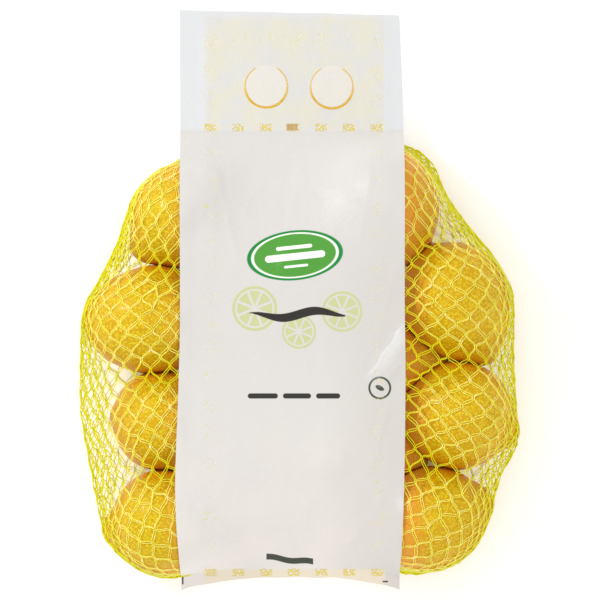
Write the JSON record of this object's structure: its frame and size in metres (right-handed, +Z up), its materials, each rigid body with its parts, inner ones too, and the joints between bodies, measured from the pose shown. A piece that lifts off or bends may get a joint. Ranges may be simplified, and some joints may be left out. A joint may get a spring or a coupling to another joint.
{
  "type": "net of lemons",
  "caption": "Knitted yellow net of lemons with white film strips front and back, welded into a handle with finger flaps, lying on its back.",
  "frame": {"origin": "on the floor, under the middle of the bounding box", "axes": "+Z up through the shown front, +Y towards the handle, +X to the right of someone who reads the front"},
  "size_m": [0.2197, 0.2917, 0.0555],
  "materials": {
    "yellow_net": "knitted yellow yarn of polyethylene over lemon peel",
    "white_film": "soft satin white film with a plain printed badge"
  },
  "bodies": {
    "root": {"net_bag": "yellow_net", "front_film": "white_film", "back_film": "white_film"}
  },
  "joints": []
}
